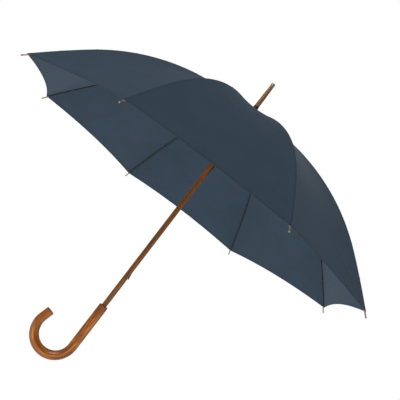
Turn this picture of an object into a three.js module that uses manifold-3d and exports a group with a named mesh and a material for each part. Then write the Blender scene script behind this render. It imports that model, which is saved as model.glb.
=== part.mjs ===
// Stick umbrella, open: eight springy steel ribs under a cloth canopy, a wooden shaft with a
// sliding runner, and a wooden crook handle.
// Millimetres. +Z runs along the shaft towards the ferrule. The origin is in the middle of the
// straight grip, and the crook curls towards -X.
import * as THREE from 'three';
import { mergeVertices } from 'three/addons/utils/BufferGeometryUtils.js';
import Module from 'manifold-3d';

const wasm = await Module();
wasm.setup();

const degree = Math.PI / 180;

// Sides of round pieces, from thin to thick.
const rodSides = 8;
const pinSides = 10;
const ferruleSides = 20;
const shaftSides = 24;
const hubSides = 32;
const handleSides = 14;

// Ribs: straight near the pivot, then bent by the pull of the cloth, most in the middle stretch.
const ribCount = 8;
const ribPivotHeight = 669;
const shaftRadius = 6.5;
const pivotRadius = shaftRadius + 3.2; // rib pivots and stretcher pivots, from the axis of the shaft
const ribStartSlope = 5.7 * degree;
const ribStraight = 70;
const ribBendRadius = 575;
const ribBendEnd = 446; // along the rib, where the outer stretch begins
const ribOuterRadius = 2160;
const ribReach = 602; // along the rib from its pivot to the outer end of its tip
const ribDiameter = 2.8;
const ribSteps = 7;
const ribEndSteps = 10;

// Stretcher joint, hung under the rib on a lug.
const jointReach = 245; // along the rib
const jointDrop = 4.2; // pin below the middle of the rib
const flexReach = jointReach + 8; // along the rib, where the outer stretch springs straight
const flexGap = 1.2;
const lugThickness = 2;
const lugWidth = 4; // along the rib, and twice the rounding of its end
const forkPlate = 0.8;
const pinRadius = 0.8;
const forkReach = 9;
const forkSolid = 4; // solid length behind the fork
const stretcherDepth = 2.8;
const stretcherThickness = 2.2;
const stretcherEye = 2.2; // radius

// Rib tips.
const tipLength = 20;
const tipRadius = 2.2;
const tipSocket = 9;
const tipRound = 2; // length of the rounded end
const tipFace = 1.5; // radius of the flat at the end

// Canopy cloth.
const clothThickness = 0.6;
const clothLift = 2.6; // inner face above the middle of the rib
const crownRingRadius = shaftRadius + 1.1;
const clothHole = crownRingRadius + 0.2; // radius at the crown
const clothReach = ribReach - 14; // along the rib to the corner of the hem
const hemRise = 15; // the hem's middle stands back from the corners
const seamGap = 0.4;
const sagMiddle = 9; // how far a panel dips between its ribs, half way down
const sagHem = 6.5;
const crownRise = 9.5; // the cloth climbs to the crown ring
const crownSpread = 36;
const goreSteps = 14;
const goreStrips = 6;

// Shaft and what sits on it.
const shaftFoot = 4; // lower end, inside the handle
const slideGap = 0.4; // runner over shaft
const fitGap = 0.3; // between pieces that are fixed together
const hubRadius = pivotRadius + 3.1;
const hubBevel = 1;
const hubPlay = 3; // slots run this far past the hub's rim
const hubWall = 0.9;
const eyeRadius = 2.4;
const eyeFlat = 0.4; // a rib's eye is this much thinner than the rib
const eyeBore = 1;
const wireRadius = 0.6;
const slotPlay = 0.35;
const notchBelow = 4; // below the rib pivots
const notchAbove = 8.6;
const notchSide = 5; // straight side above the pivots
const notchLip = 2; // wall at the top
const runnerAbove = 4;
const runnerBelow = 8;
const runnerShoulder = 3; // height of the cone between tube and collar
const runnerTube = 60; // from the stretcher pivots to its lower end
const stopPinRadius = 0.9;
const stopPinLength = 2 * shaftRadius + 4;

// Catch springs, in slots in the shaft.
const springWidth = 2.4;
const springSlotWidth = 3.2;
const springSlotFloor = -3; // x of the bottom of the slot
const springLeaf = 0.9;
const springReach = 44; // root to nose
const noseOut = shaftRadius + 2.6; // x of the nose
const noseSlope = 17;
const noseTail = 8;
const noseFlat = 1.5; // height of the flat on the nose's edge
const leafEnd = 2; // length of the leaf's square end
const lowCatchHeight = 148; // underside of the lower nose
const windowWidth = 4;
const windowHeight = 22;

// Crown ring and ferrule.
const crownRingHeight = 6;
const ferruleFootRadius = shaftRadius - 0.4;
const ferruleTopRadius = shaftRadius - 1.3;
const ferruleLength = 68.5;
const tenonRadius = 3;
const tenonLength = 16;
const capLength = 11;
const capRadius = ferruleTopRadius + 0.1;
const capWall = 0.8;
const capRoof = 2;
const capTaper = 0.2;
const capRound = 1;

// Handle.
const handleRadius = shaftRadius + 5;
const handleTop = 63;
const crookHeight = -59.5; // centre of the crook's bend
const crookRadius = 51.5;
const crookTurn = 195 * degree;
const crookTail = 24.6;
const handleChamfer = 1.6;
const crookSteps = 36;

// Tie strap, sewn beside one rib on the outside.
const strapRib = 3;
const strapEnd = clothReach - 43;
const strapStart = strapEnd - 140;
const strapWidth = 20;
const strapOffset = 3; // from the seam
const strapThickness = 0.8;
const strapRest = 1.8; // over the panel
const strapSteps = 6;
const strapStrips = 2;
const snapRadius = 5.5;
const snapHeight = 1.2;

// Closed position, for the lengths that the catches need.
const closedLean = 3 * degree;

const navyCloth = finish(0x3a4653, 0.85, 0);
const varnishedWood = finish(0x8f5524, 0.32, 0);
const shaftWood = finish(0x7d5233, 0.45, 0);
const darkSteel = finish(0x3b3a38, 0.4, 0.8);
const tipMetal = finish(0x8f8470, 0.4, 0.7);
const capMetal = finish(0x8c9087, 0.35, 0.8);
const blackPlastic = finish(0x121316, 0.5, 0);

function finish(color, roughness, metalness) {
  return new THREE.MeshStandardMaterial({ color, roughness, metalness });
}

// Solids.

function toSolid(geometry) {
  const bare = geometry.clone();
  bare.deleteAttribute('normal');
  bare.deleteAttribute('uv');
  const merged = mergeVertices(bare, 1e-4);
  return new wasm.Manifold(new wasm.Mesh({
    numProp: 3,
    vertProperties: new Float32Array(merged.attributes.position.array),
    triVerts: new Uint32Array(merged.index.array),
  }));
}

function toGeometry(solid) {
  const mesh = solid.getMesh();
  const geometry = new THREE.BufferGeometry();
  geometry.setAttribute('position', new THREE.BufferAttribute(mesh.vertProperties, 3));
  geometry.setIndex(new THREE.BufferAttribute(mesh.triVerts, 1));
  geometry.computeVertexNormals();
  return geometry;
}

// The first shape, with the next ones joined on and the last ones cut away.
function carve(start, joined, cut) {
  let solid = toSolid(start);
  for (const piece of joined) {
    solid = solid.add(toSolid(piece));
  }
  for (const piece of cut) {
    solid = solid.subtract(toSolid(piece));
  }
  return toGeometry(solid);
}

function node(name, geometry, material, parent) {
  const mesh = new THREE.Mesh(geometry, material);
  mesh.name = name;
  parent.add(mesh);
  return mesh;
}

// A curve in the XZ plane, from a function that gives the place at a distance along it.
class PlaneCurve extends THREE.Curve {
  constructor(place, from, to) {
    super();
    this.place = place;
    this.from = from;
    this.to = to;
  }

  getPoint(share, target = new THREE.Vector3()) {
    const spot = this.place(this.from + (this.to - this.from) * share);
    return target.set(spot.x, 0, spot.z);
  }
}

function rod(place, from, to, radius, sides, steps) {
  const section = new THREE.Shape();
  section.absarc(0, 0, radius, 0, 2 * Math.PI);
  return new THREE.ExtrudeGeometry(section, {
    extrudePath: new PlaneCurve(place, from, to),
    curveSegments: sides / 2,
    steps,
  });
}

// A turned piece about +Z, from [radius, height] points that end on the axis or close up.
function turned(points, sides) {
  const outline = points.map(([radius, height]) => new THREE.Vector2(radius, height));
  return new THREE.LatheGeometry(outline, sides).rotateX(Math.PI / 2);
}

function box(x0, x1, y0, y1, z0, z1) {
  const block = new THREE.BoxGeometry(x1 - x0, y1 - y0, z1 - z0);
  return block.translate((x0 + x1) / 2, (y0 + y1) / 2, (z0 + z1) / 2);
}

// A pin along Y.
function pin(x, z, radius, length, sides = pinSides) {
  return new THREE.CylinderGeometry(radius, radius, length, sides).translate(x, 0, z);
}

// Rib line: distance from the pivot to the place in the rib's own plane.
function ribPlace(reach) {
  const straight = Math.min(reach, ribStraight);
  const bent = THREE.MathUtils.clamp(reach, ribStraight, ribBendEnd) - ribStraight;
  const outer = Math.max(reach - ribBendEnd, 0);
  const middleSlope = ribStartSlope + bent / ribBendRadius;
  const slope = middleSlope + outer / ribOuterRadius;
  return {
    x: pivotRadius + straight * Math.cos(ribStartSlope)
      + ribBendRadius * (Math.sin(middleSlope) - Math.sin(ribStartSlope))
      + ribOuterRadius * (Math.sin(slope) - Math.sin(middleSlope)),
    z: ribPivotHeight - straight * Math.sin(ribStartSlope)
      - ribBendRadius * (Math.cos(ribStartSlope) - Math.cos(middleSlope))
      - ribOuterRadius * (Math.cos(middleSlope) - Math.cos(slope)),
    slope,
  };
}

// A place beside the rib line, positive outwards.
function besideRib(reach, lift) {
  const spot = ribPlace(reach);
  return {
    x: spot.x + lift * Math.sin(spot.slope),
    z: spot.z + lift * Math.cos(spot.slope),
    slope: spot.slope,
  };
}

// The linkage: rib pivot to joint pin is as long as the stretcher, so the runner slides straight.
const jointPin = besideRib(jointReach, -jointDrop);
const stretcherLength = Math.hypot(jointPin.x - pivotRadius, jointPin.z - ribPivotHeight);
const runnerPivotHeight = 2 * jointPin.z - ribPivotHeight;
const closedPivotHeight = ribPivotHeight - 2 * stretcherLength * Math.cos(closedLean);
const highCatchHeight = runnerPivotHeight - runnerTube - slideGap;

// Ribs, in their own plane with the radius along +X.

function ribGeometry() {
  const lugTop = besideRib(jointReach, 0);
  const lug = new THREE.BoxGeometry(lugWidth, lugThickness, jointDrop);
  lug.rotateY(lugTop.slope);
  lug.translate((lugTop.x + jointPin.x) / 2, 0, (lugTop.z + jointPin.z) / 2);
  const lugEnd = pin(jointPin.x, jointPin.z, lugWidth / 2, lugThickness);
  const eye = pin(pivotRadius, ribPivotHeight, eyeRadius, ribDiameter - eyeFlat);
  return carve(
    rod(ribPlace, 0, flexReach - flexGap / 2, ribDiameter / 2, rodSides, ribSteps),
    [eye, lug, lugEnd],
    [
      pin(pivotRadius, ribPivotHeight, eyeBore, ribDiameter * 2),
      pin(jointPin.x, jointPin.z, pinRadius + slotPlay, ribDiameter * 2),
    ],
  );
}

function ribEndGeometry() {
  const end = ribReach - tipLength + tipSocket - fitGap;
  return rod(ribPlace, flexReach + flexGap / 2, end, ribDiameter / 2, rodSides, ribEndSteps);
}

function tipGeometry() {
  const bore = ribDiameter / 2 + fitGap;
  return turned([
    [0, tipSocket],
    [bore, tipSocket],
    [bore, 0],
    [tipRadius, 0],
    [tipRadius, tipLength - tipRound],
    [tipFace, tipLength - tipRound / 4],
    [0, tipLength],
  ], rodSides);
}

function placeTip(mesh) {
  const foot = ribPlace(ribReach - tipLength);
  const end = ribPlace(ribReach);
  const along = new THREE.Vector3(end.x - foot.x, 0, end.z - foot.z).normalize();
  mesh.position.set(foot.x, 0, foot.z);
  mesh.quaternion.setFromUnitVectors(new THREE.Vector3(0, 0, 1), along);
}

// Stretcher along +X from its runner eye, with a fork and pin at the rib end.
function stretcherGeometry() {
  const half = stretcherDepth / 2;
  const inner = lugThickness / 2 + slotPlay;
  const outer = inner + forkPlate;
  const forkFoot = stretcherLength - forkReach;
  const joined = [
    pin(0, 0, stretcherEye, stretcherThickness),
    box(forkFoot - forkSolid, forkFoot + forkSolid / 2, -outer, outer, -half, half),
    pin(stretcherLength, 0, pinRadius, 2 * outer, rodSides),
  ];
  for (const side of [-1, 1]) {
    const middle = side * (inner + outer) / 2;
    const low = middle - forkPlate / 2;
    const high = middle + forkPlate / 2;
    joined.push(box(forkFoot + 1, stretcherLength, low, high, -half, half));
    joined.push(pin(stretcherLength, 0, half, forkPlate).translate(0, middle, 0));
  }
  const side = stretcherThickness / 2;
  const bar = box(0, forkFoot, -side, side, -half, half);
  return carve(bar, joined, [pin(0, 0, eyeBore, stretcherThickness * 2)]);
}

// Cloth panel between one rib and the next. along runs from crown to hem and across from rib
// to rib, each from 0 to 1, and lift is the height over the middle of the rib.
function clothPoint(along, across, lift) {
  const bulge = 4 * across * (1 - across);
  const start = (clothHole - pivotRadius) / Math.cos(ribStartSlope);
  const reach = start + (clothReach - hemRise * bulge - start) * along;
  const climb = crownRise * Math.exp(-((reach / crownSpread) ** 2));
  const edge = besideRib(reach, lift + climb);
  const step = 2 * Math.PI / ribCount;
  const from = new THREE.Vector3(edge.x, 0, edge.z);
  const to = from.clone().applyAxisAngle(new THREE.Vector3(0, 0, 1), step);
  const chord = to.clone().sub(from);
  const inset = seamGap / 2 / chord.length();
  const spot = from.lerp(to, inset + (1 - 2 * inset) * across);
  const sag = bulge * (sagMiddle * Math.sin(Math.PI * along) + sagHem * along ** 3);
  spot.x -= sag * Math.sin(edge.slope) * Math.cos(step / 2);
  spot.y -= sag * Math.sin(edge.slope) * Math.sin(step / 2);
  spot.z -= sag * Math.cos(edge.slope);
  return spot;
}

// A flat slab bent to shape: place takes the slab's shares (0 to 1) along, across and up.
function bentSlab(alongSteps, acrossSteps, place) {
  const slab = new THREE.BoxGeometry(1, 1, 1, alongSteps, acrossSteps, 1);
  const points = slab.attributes.position;
  for (let i = 0; i < points.count; i += 1) {
    const spot = place(points.getX(i) + 0.5, points.getY(i) + 0.5, points.getZ(i) + 0.5);
    points.setXYZ(i, spot.x, spot.y, spot.z);
  }
  slab.computeVertexNormals();
  return slab;
}

function goreGeometry() {
  return bentSlab(goreSteps, goreStrips, (along, across, up) => (
    clothPoint(along, across, clothLift + clothThickness * up)
  ));
}

// The strap lies on the panel beside its rib. Its own outward direction comes from the panel.
function strapPoint(reach, sideways, lift) {
  const start = (clothHole - pivotRadius) / Math.cos(ribStartSlope);
  const along = (reach - start) / (clothReach - start);
  const width = 2 * Math.sin(Math.PI / ribCount) * ribPlace(reach).x;
  return clothPoint(along, (strapOffset + sideways) / width, lift);
}

function strapGeometry() {
  const rest = clothLift + clothThickness + strapRest;
  return bentSlab(strapSteps, strapStrips, (along, across, up) => strapPoint(
    strapStart + (strapEnd - strapStart) * along,
    strapWidth * across,
    rest + strapThickness * up,
  ));
}

function placeSnap(mesh) {
  const lift = clothLift + clothThickness + strapRest + strapThickness + 2 * fitGap;
  const reach = strapEnd - strapWidth / 2;
  const middle = strapPoint(reach, strapWidth / 2, lift + snapHeight / 2);
  const ahead = strapPoint(reach + snapRadius, strapWidth / 2, lift + snapHeight / 2);
  const beside = strapPoint(reach, strapWidth, lift + snapHeight / 2);
  const outward = ahead.sub(middle).cross(beside.sub(middle)).normalize();
  mesh.position.copy(middle);
  mesh.quaternion.setFromUnitVectors(new THREE.Vector3(0, 1, 0), outward);
}

// Pieces turned about the shaft.

// Radial slots for the eyes, from the height low to the height high.
function hubSlots(width, low, high) {
  const slots = [];
  const inner = pivotRadius - eyeRadius - fitGap;
  for (let i = 0; i < ribCount; i += 1) {
    const slot = box(inner, hubRadius + hubPlay, -width / 2, width / 2, low, high);
    slots.push(slot.rotateZ(ribAngle(i)));
  }
  return slots;
}

function ribAngle(index) {
  return (index + 0.5) * 2 * Math.PI / ribCount;
}

function notchGeometry() {
  const bore = shaftRadius + fitGap;
  const pivot = ribPivotHeight;
  const groove = wireRadius + slotPlay;
  const body = turned([
    [bore, pivot - notchBelow],
    [hubRadius - hubBevel, pivot - notchBelow],
    [hubRadius, pivot - notchBelow + hubBevel],
    [hubRadius, pivot - groove],
    [pivotRadius - groove, pivot - groove],
    [pivotRadius - groove, pivot + groove],
    [hubRadius, pivot + groove],
    [hubRadius, pivot + notchSide],
    [bore + notchLip, pivot + notchAbove],
    [bore, pivot + notchAbove],
    [bore, pivot - notchBelow],
  ], hubSides);
  const width = ribDiameter + 2 * slotPlay;
  return carve(body, [], hubSlots(width, pivot - notchBelow - 1, pivot + eyeRadius + slotPlay));
}

function runnerGeometry() {
  const bore = shaftRadius + slideGap;
  const tube = bore + hubWall;
  const pivot = runnerPivotHeight;
  const groove = wireRadius + slotPlay;
  const foot = pivot - runnerTube;
  const body = turned([
    [bore, foot],
    [tube, foot],
    [tube, pivot - runnerBelow - runnerShoulder],
    [hubRadius, pivot - runnerBelow],
    [hubRadius, pivot - groove],
    [pivotRadius - groove, pivot - groove],
    [pivotRadius - groove, pivot + groove],
    [hubRadius, pivot + groove],
    [hubRadius, pivot + runnerAbove],
    [bore, pivot + runnerAbove],
    [bore, foot],
  ], hubSides);
  const width = stretcherThickness + 2 * slotPlay;
  const slots = hubSlots(width, pivot - eyeRadius - slotPlay, pivot + runnerAbove + 1);
  const travel = runnerPivotHeight - closedPivotHeight;
  const sill = lowCatchHeight + travel - slideGap;
  const side = windowWidth / 2;
  const opening = box(bore - 1, tube + 2, -side, side, sill, sill + windowHeight);
  return carve(body, [], [...slots, opening]);
}

function hubWire(pivot) {
  return new THREE.TorusGeometry(pivotRadius, wireRadius, rodSides - 2, hubSides).translate(0, 0, pivot);
}

// Catch spring in the XZ plane. The nose's flat side is at the height catchHeight and the leaf
// runs away from it in the direction of up, +1 or -1.
function springGeometry(catchHeight, up) {
  const foot = springSlotFloor + fitGap;
  const outline = new THREE.Shape();
  const points = [
    [noseOut, 0],
    [noseOut, noseFlat],
    [shaftRadius, noseSlope],
    [foot + springLeaf, springReach],
    [foot, springReach],
    [foot, springReach - leafEnd],
    [shaftRadius - springLeaf * 2, noseSlope - 2 * noseFlat],
    [noseOut - springLeaf * 2.4, springLeaf],
    [shaftRadius - springLeaf * 2, springLeaf],
    [shaftRadius - springLeaf * 2, -noseTail],
    [shaftRadius - springLeaf, -noseTail],
    [shaftRadius - springLeaf, 0],
  ];
  outline.setFromPoints(points.map(([x, z]) => new THREE.Vector2(x, z * up)));
  const leaf = new THREE.ExtrudeGeometry(outline, { depth: springWidth, bevelEnabled: false });
  return leaf.rotateX(Math.PI / 2).translate(0, springWidth / 2, catchHeight);
}

function springSlot(catchHeight, up) {
  const side = springSlotWidth / 2;
  const ends = [catchHeight - up * (noseTail + 1), catchHeight + up * (springReach + 1)];
  return box(springSlotFloor, shaftRadius + 2, -side, side, Math.min(...ends), Math.max(...ends));
}

const crownRingFoot = ribPivotHeight + notchAbove + clothThickness + 4 * fitGap;
const shaftTop = crownRingFoot + crownRingHeight;
const stopPinHeight = runnerPivotHeight + runnerAbove + slideGap + stopPinRadius;

function shaftGeometry() {
  const body = turned([
    [0, shaftFoot],
    [shaftRadius, shaftFoot],
    [shaftRadius, shaftTop],
    [tenonRadius, shaftTop],
    [tenonRadius, shaftTop + tenonLength],
    [0, shaftTop + tenonLength],
  ], shaftSides);
  return carve(body, [], [
    springSlot(lowCatchHeight, 1),
    springSlot(highCatchHeight, -1),
    pin(0, stopPinHeight, stopPinRadius + fitGap, 4 * shaftRadius),
  ]);
}

function crownRingGeometry() {
  const bore = shaftRadius + fitGap;
  return turned([
    [bore, crownRingFoot],
    [crownRingRadius, crownRingFoot],
    [crownRingRadius, crownRingFoot + crownRingHeight],
    [bore, crownRingFoot + crownRingHeight],
    [bore, crownRingFoot],
  ], shaftSides);
}

const ferruleFoot = shaftTop + fitGap;
const ferruleShoulder = ferruleFoot + ferruleLength;
const capInside = capRadius - capWall;

function ferruleGeometry() {
  const bore = tenonRadius + fitGap;
  return turned([
    [0, ferruleFoot + tenonLength + fitGap],
    [bore, ferruleFoot + tenonLength + fitGap],
    [bore, ferruleFoot],
    [ferruleFootRadius, ferruleFoot],
    [ferruleTopRadius, ferruleShoulder],
    [capInside - fitGap, ferruleShoulder],
    [capInside - fitGap, ferruleShoulder + capLength - capRoof],
    [0, ferruleShoulder + capLength - capRoof],
  ], ferruleSides);
}

function ferruleCapGeometry() {
  const foot = ferruleShoulder + fitGap;
  const inside = ferruleShoulder + capLength - capRoof + fitGap;
  return turned([
    [0, inside],
    [capInside, inside],
    [capInside, foot],
    [capRadius, foot],
    [capRadius - capTaper, foot + capLength - capRound - capTaper],
    [capRadius - capRound, foot + capLength],
    [0, foot + capLength],
  ], ferruleSides);
}

// Crook: straight grip down from the top, a bend past the half turn, and a short straight end.
function crookPlace(distance) {
  const grip = handleTop - crookHeight;
  const bend = crookRadius * crookTurn;
  const straight = Math.min(distance, grip);
  const turn = THREE.MathUtils.clamp((distance - grip) / crookRadius, 0, crookTurn);
  const tail = Math.max(distance - grip - bend, 0);
  return {
    x: -crookRadius * (1 - Math.cos(turn)) - tail * Math.sin(crookTurn),
    z: handleTop - straight - crookRadius * Math.sin(turn) - tail * Math.cos(crookTurn),
  };
}

function handleGeometry() {
  const length = handleTop - crookHeight + crookRadius * crookTurn + crookTail;
  const bar = rod(crookPlace, handleChamfer, length - handleChamfer, handleRadius, handleSides, crookSteps);
  const end = crookPlace(length);
  const root = -2 * handleChamfer;
  const shoulder = [
    [0, root],
    [handleRadius, root],
    [handleRadius, -handleChamfer],
    [handleRadius - handleChamfer, 0],
    [0, 0],
  ];
  const topChamfer = turned(shoulder, handleSides).translate(0, 0, handleTop);
  const endChamfer = turned(shoulder, handleSides);
  endChamfer.rotateY(crookTurn - Math.PI);
  endChamfer.translate(end.x, 0, end.z);
  const bore = turned([
    [0, shaftFoot - fitGap],
    [shaftRadius + fitGap, shaftFoot - fitGap],
    [shaftRadius + fitGap, handleTop + 1],
    [0, handleTop + 1],
  ], shaftSides);
  return carve(bar, [topChamfer, endChamfer], [bore]);
}

// Assembly.

const umbrella = new THREE.Group();

node('shaft', shaftGeometry(), shaftWood, umbrella);
node('handle', handleGeometry(), varnishedWood, umbrella);
node('ferrule', ferruleGeometry(), varnishedWood, umbrella);
node('ferrule_cap', ferruleCapGeometry(), capMetal, umbrella);
node('crown_ring', crownRingGeometry(), blackPlastic, umbrella);
node('notch', notchGeometry(), blackPlastic, umbrella);
node('notch_wire', hubWire(ribPivotHeight), darkSteel, umbrella);
node('runner', runnerGeometry(), darkSteel, umbrella);
node('runner_wire', hubWire(runnerPivotHeight), darkSteel, umbrella);
node('low_catch', springGeometry(lowCatchHeight, 1), darkSteel, umbrella);
node('high_catch', springGeometry(highCatchHeight, -1), darkSteel, umbrella);
node('stop_pin', pin(0, stopPinHeight, stopPinRadius, stopPinLength), darkSteel, umbrella);

const rib = ribGeometry();
const ribEnd = ribEndGeometry();
const tip = tipGeometry();
const stretcher = stretcherGeometry();
const gore = goreGeometry();
const stretcherLean = Math.atan2(jointPin.z - runnerPivotHeight, jointPin.x - pivotRadius);

for (let i = 0; i < ribCount; i += 1) {
  const number = i + 1;
  const spoke = new THREE.Group();
  spoke.rotation.z = ribAngle(i);
  umbrella.add(spoke);
  node(`rib_${number}`, rib, darkSteel, spoke);
  node(`rib_end_${number}`, ribEnd, darkSteel, spoke);
  placeTip(node(`rib_tip_${number}`, tip, tipMetal, spoke));
  const arm = node(`stretcher_${number}`, stretcher, darkSteel, spoke);
  arm.position.set(pivotRadius, 0, runnerPivotHeight);
  arm.rotation.y = -stretcherLean;
  node(`gore_${number}`, gore, navyCloth, spoke);
  if (number === strapRib) {
    node('tie_strap', strapGeometry(), navyCloth, spoke);
    const snap = new THREE.CylinderGeometry(snapRadius, snapRadius, snapHeight, ferruleSides);
    placeSnap(node('strap_snap', snap, darkSteel, spoke));
  }
}

export default umbrella;
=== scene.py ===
# Stick umbrella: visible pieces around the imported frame. Metres, +Z up the shaft.
import math

import bpy
import bmesh
import numpy as np
from mathutils import Matrix, Vector


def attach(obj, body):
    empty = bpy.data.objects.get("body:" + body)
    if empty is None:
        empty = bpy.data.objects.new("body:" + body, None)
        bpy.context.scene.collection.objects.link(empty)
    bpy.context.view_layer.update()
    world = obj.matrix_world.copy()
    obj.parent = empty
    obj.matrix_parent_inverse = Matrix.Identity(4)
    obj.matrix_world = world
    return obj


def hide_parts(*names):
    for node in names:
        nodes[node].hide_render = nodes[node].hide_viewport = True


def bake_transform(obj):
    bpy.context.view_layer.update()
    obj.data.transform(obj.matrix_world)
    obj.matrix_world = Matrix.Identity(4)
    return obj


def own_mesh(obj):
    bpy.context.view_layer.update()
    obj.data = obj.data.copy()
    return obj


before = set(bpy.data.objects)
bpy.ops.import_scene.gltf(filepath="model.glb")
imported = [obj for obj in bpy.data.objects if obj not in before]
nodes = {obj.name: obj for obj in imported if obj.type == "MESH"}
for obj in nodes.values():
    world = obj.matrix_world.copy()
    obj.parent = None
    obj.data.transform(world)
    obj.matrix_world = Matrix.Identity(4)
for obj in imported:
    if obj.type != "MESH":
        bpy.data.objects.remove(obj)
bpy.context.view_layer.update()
print("frame loaded:", len(nodes), "nodes")


# small helpers for node trees

def addNode(tree, kind, **settings):
    made = tree.nodes.new(kind)
    for key, value in settings.items():
        setattr(made, key, value)
    return made


def wire(tree, source, target):
    tree.links.new(source, target)


def ramp(tree, fac, stops, interpolation="EASE"):
    # stops: (position, grey or rgb)
    made = addNode(tree, "ShaderNodeValToRGB")
    made.color_ramp.interpolation = interpolation
    while len(made.color_ramp.elements) < len(stops):
        made.color_ramp.elements.new(0.5)
    for element, (position, color) in zip(made.color_ramp.elements, stops):
        element.position = position
        element.color = (color, color, color, 1) if isinstance(color, (int, float)) else (*color, 1)
    wire(tree, fac, made.inputs["Fac"])
    return made.outputs["Color"]


def maths(tree, operation, first, second=None, clamp=False):
    made = addNode(tree, "ShaderNodeMath", operation=operation, use_clamp=clamp)
    for socket, value in zip(made.inputs, (first, second)):
        if value is None:
            continue
        if isinstance(value, (int, float)):
            socket.default_value = value
        else:
            wire(tree, value, socket)
    return made.outputs[0]


def mixColor(tree, fac, first, second, blend="MIX"):
    made = addNode(tree, "ShaderNodeMix", data_type="RGBA", blend_type=blend)
    for name, value in (("Factor_Float", fac), ("A_Color", first), ("B_Color", second)):
        socket = next(s for s in made.inputs if s.identifier == name)
        if isinstance(value, (int, float)):
            socket.default_value = value
        elif isinstance(value, tuple):
            socket.default_value = (*value, 1)
        else:
            wire(tree, value, socket)
    return next(s for s in made.outputs if s.identifier == "Result_Color")


def noise(tree, place, scale, detail=3.0, roughness=0.5, distortion=0.0):
    made = addNode(tree, "ShaderNodeTexNoise")
    made.inputs["Scale"].default_value = scale
    made.inputs["Detail"].default_value = detail
    made.inputs["Roughness"].default_value = roughness
    made.inputs["Distortion"].default_value = distortion
    wire(tree, place, made.inputs["Vector"])
    return made.outputs["Fac"]


def mapping(tree, place, scale=(1, 1, 1), turn=(0, 0, 0), move=(0, 0, 0)):
    made = addNode(tree, "ShaderNodeMapping")
    made.inputs["Scale"].default_value = scale
    made.inputs["Rotation"].default_value = turn
    made.inputs["Location"].default_value = move
    wire(tree, place, made.inputs["Vector"])
    return made.outputs["Vector"]


def bump(tree, height, strength, distance, below=None):
    made = addNode(tree, "ShaderNodeBump")
    made.inputs["Strength"].default_value = strength
    made.inputs["Distance"].default_value = distance
    wire(tree, height, made.inputs["Height"])
    if below is not None:
        wire(tree, below, made.inputs["Normal"])
    return made.outputs["Normal"]


def newMaterial(name, **shaderValues):
    material = bpy.data.materials.new(name)
    material.use_nodes = True
    tree = material.node_tree
    shader = tree.nodes["Principled BSDF"]
    for key, value in shaderValues.items():
        shader.inputs[key].default_value = value
    return material, tree, shader


def objectPlace(tree):
    return addNode(tree, "ShaderNodeTexCoord").outputs["Object"]


def ownPlace(tree, name):
    return addNode(tree, "ShaderNodeAttribute", attribute_name=name).outputs["Vector"]


# finishes

cloth = dict(
    # the darkest colour is painted shade, laid beside the rib seams and along the hem band
    color=(0.0340, 0.0590, 0.0870), shade=(0.0280, 0.0500, 0.0750), seam=(0.0150, 0.0240, 0.0360),
    slub=(0.040, 0.063, 0.094),     # thicker, paler threads
    thread=0.00042,     # from one weave thread to the next
    roughness=0.82, sheen=0.07,
)


def makeClothMaterial():
    material, tree, shader = newMaterial("canopyCloth", **{
        "Roughness": cloth["roughness"], "Sheen Weight": cloth["sheen"], "Sheen Roughness": 0.45,
        "Sheen Tint": (0.55, 0.68, 0.85, 1), "Specular IOR Level": 0.22,
    })
    weaveUv = addNode(tree, "ShaderNodeUVMap", uv_map="weave").outputs["UV"]
    edgeUv = addNode(tree, "ShaderNodeUVMap", uv_map="edges").outputs["UV"]
    # plain weave: threads over and under
    split = addNode(tree, "ShaderNodeSeparateXYZ")
    wire(tree, weaveUv, split.inputs[0])
    turn = math.pi / cloth["thread"]
    warp = maths(tree, "SINE", maths(tree, "MULTIPLY", split.outputs[0], turn))
    weft = maths(tree, "SINE", maths(tree, "MULTIPLY", split.outputs[1], turn))
    weave = maths(tree, "MULTIPLY", warp, weft)
    slub = noise(tree, mapping(tree, weaveUv, (1, 0.06, 1)), 900, 2.0, 0.6)
    cloudy = noise(tree, weaveUv, 9, 4.0, 0.55, 0.4)
    base = mixColor(tree, ramp(tree, cloudy, [(0.32, 0.0), (0.68, 1.0)]), cloth["shade"], cloth["color"])
    base = mixColor(tree, ramp(tree, slub, [(0.3, 0.0), (0.7, 0.35)]), base, cloth["slub"])
    # painted shade beside each rib seam and along the hem band, where the ridged, doubled cloth lets less
    # light through
    edge = addNode(tree, "ShaderNodeSeparateXYZ")
    wire(tree, edgeUv, edge.inputs[0])
    besideRib = ramp(tree, maths(tree, "MULTIPLY", edge.outputs[0], 100),
                     [(0.0, 1.0), (0.12, 0.55), (0.5, 0.0)])
    hem = ramp(tree, maths(tree, "MULTIPLY", edge.outputs[1], 100),
               [(0.0, 1.0), (0.10, 0.45), (0.85, 0.30), (0.95, 0.0)])
    base = mixColor(tree, maths(tree, "MULTIPLY", besideRib, 0.55), base, cloth["seam"])
    base = mixColor(tree, maths(tree, "MULTIPLY", hem, 0.55), base, cloth["seam"])
    wire(tree, base, shader.inputs["Base Color"])
    rough = ramp(tree, cloudy, [(0.2, 0.76), (0.8, 0.88)])
    wire(tree, rough, shader.inputs["Roughness"])
    crease = noise(tree, mapping(tree, weaveUv, (1.0, 0.35, 1)), 26, 4.0, 0.6, 0.8)
    soft = bump(tree, crease, 0.16, 0.004)
    fine = bump(tree, maths(tree, "ADD", maths(tree, "MULTIPLY", weave, 0.5), slub), 0.35, 0.00012, soft)
    wire(tree, fine, shader.inputs["Normal"])
    return material


def makeThreadMaterial():
    material, tree, shader = newMaterial("seamThread", **{"Roughness": 0.7, "Sheen Weight": 0.3})
    place = objectPlace(tree)
    wire(tree, mixColor(tree, noise(tree, place, 700, 2.0), (0.022, 0.030, 0.044), (0.050, 0.066, 0.092)),
         shader.inputs["Base Color"])
    ply = addNode(tree, "ShaderNodeTexWave", wave_type="BANDS", bands_direction="DIAGONAL")
    ply.inputs["Scale"].default_value = 900
    wire(tree, place, ply.inputs["Vector"])
    wire(tree, bump(tree, ply.outputs["Fac"], 0.4, 0.0001), shader.inputs["Normal"])
    return material


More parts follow.
